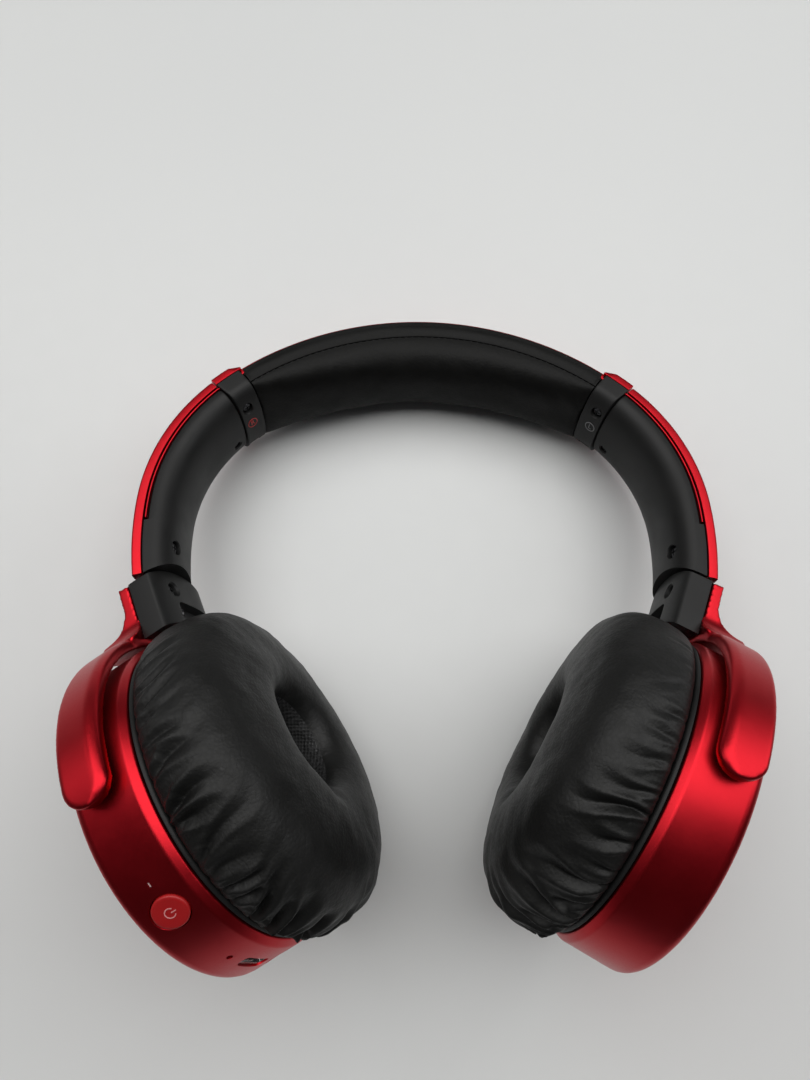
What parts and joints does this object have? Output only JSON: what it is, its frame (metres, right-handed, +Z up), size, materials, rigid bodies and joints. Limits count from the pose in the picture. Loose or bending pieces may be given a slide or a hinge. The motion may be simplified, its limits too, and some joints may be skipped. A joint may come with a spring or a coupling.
{
  "type": "over-ear headphones",
  "caption": "Wireless headphones: a cushioned sprung headband, curved sliding arms, and round padded cups that swivel and tilt in red forks.",
  "frame": {"origin": "middle of the bounding box at its lowest point, the surface the headphones lie on", "axes": "+Z up from the table, +Y towards the top of the headband, +X towards the left-ear cup; the controls face up"},
  "size_m": [0.1464, 0.1616, 0.0781],
  "materials": {
    "red_metal": "satin",
    "black_plastic": "matte",
    "leatherette": "soft matte grain",
    "foam": "matte",
    "speaker_cloth": "woven",
    "dark_screw": "black oxide",
    "steel": "satin",
    "diaphragm_film": "semi gloss",
    "circuit_board": "satin",
    "battery_cell": "satin",
    "lamp_lens": "gloss"
  },
  "bodies": {
    "headband": {"headband_band": "red_metal", "headband_cushion_sleeve": "leatherette", "headband_cushion_foam": "foam", "band_end_cap_right": "black_plastic", "band_end_cover_right": "red_metal", "band_end_screw_right": "dark_screw", "band_end_cap_left": "black_plastic", "band_end_cover_left": "red_metal", "band_end_screw_left": "dark_screw"},
    "slider_right": {"slider_strip_right": "red_metal", "slider_cover_right": "black_plastic", "slider_screw_upper_right": "dark_screw", "slider_screw_lower_right": "dark_screw", "slider_detent_right": "steel"},
    "yoke_right": {"yoke_right": "red_metal", "neck_cover_right": "black_plastic", "neck_screw_right": "dark_screw", "swivel_pin_right": "steel", "pivot_pin_front_right": "steel", "pivot_pin_rear_right": "steel"},
    "cup_right": {"cup_housing_right": "red_metal", "cup_baffle_right": "black_plastic", "ear_pad_right": "leatherette", "speaker_cloth_right": "speaker_cloth", "driver_frame_right": "black_plastic", "driver_diaphragm_right": "diaphragm_film", "driver_magnet_right": "steel", "circuit_board": "circuit_board", "microphone": "black_plastic", "usb_socket": "steel", "audio_socket": "black_plastic", "status_lamp": "lamp_lens"},
    "slider_left": {"slider_strip_left": "red_metal", "slider_cover_left": "black_plastic", "slider_screw_upper_left": "dark_screw", "slider_screw_lower_left": "dark_screw", "slider_detent_left": "steel"},
    "yoke_left": {"yoke_left": "red_metal", "neck_cover_left": "black_plastic", "neck_screw_left": "dark_screw", "swivel_pin_left": "steel", "pivot_pin_front_left": "steel", "pivot_pin_rear_left": "steel"},
    "cup_left": {"cup_housing_left": "red_metal", "cup_baffle_left": "black_plastic", "ear_pad_left": "leatherette", "speaker_cloth_left": "speaker_cloth", "driver_frame_left": "black_plastic", "driver_diaphragm_left": "diaphragm_film", "driver_magnet_left": "steel", "battery": "battery_cell"},
    "power_button": {"power_button": "red_metal"}
  },
  "joints": [
    {"name": "slider_right_extend", "type": "hinge", "parent": "headband", "child": "slider_right", "pos_m": [-0.01623, 0.01949, 0.02518], "axis": [0.0144, 0.2284, 0.9735], "range_deg": [0, 6.5]},
    {"name": "yoke_right_swivel", "type": "hinge", "parent": "slider_right", "child": "yoke_right", "pos_m": [-0.04152, -0.04531, 0.04076], "axis": [0.4177, -0.8859, 0.2016], "range_deg": [-34, 69]},
    {"name": "cup_right_tilt", "type": "hinge", "parent": "yoke_right", "child": "cup_right", "pos_m": [-0.04959, -0.04546, 0.03839], "axis": [-0.2821, 0.0845, 0.9557], "range_deg": [-7, 7]},
    {"name": "slider_left_extend", "type": "hinge", "parent": "headband", "child": "slider_left", "pos_m": [0.01776, 0.01949, 0.02468], "axis": [-0.0144, -0.2284, -0.9735], "range_deg": [0, 6.5]},
    {"name": "yoke_left_swivel", "type": "hinge", "parent": "slider_left", "child": "yoke_left", "pos_m": [0.04351, -0.04531, 0.0395], "axis": [0.4116, 0.8859, -0.2139], "range_deg": [-18.5, 84.5]},
    {"name": "cup_left_tilt", "type": "hinge", "parent": "yoke_left", "child": "cup_left", "pos_m": [0.05189, -0.04517, 0.03887], "axis": [0.07, 0.2033, 0.9766], "range_deg": [-7, 7]},
    {"name": "power_button_press", "type": "slide", "parent": "cup_right", "child": "power_button", "axis": [-0.0665, 0.4516, -0.8897], "range_m": [0, 0.0006], "stiffness_N_per_m": 400}
  ]
}
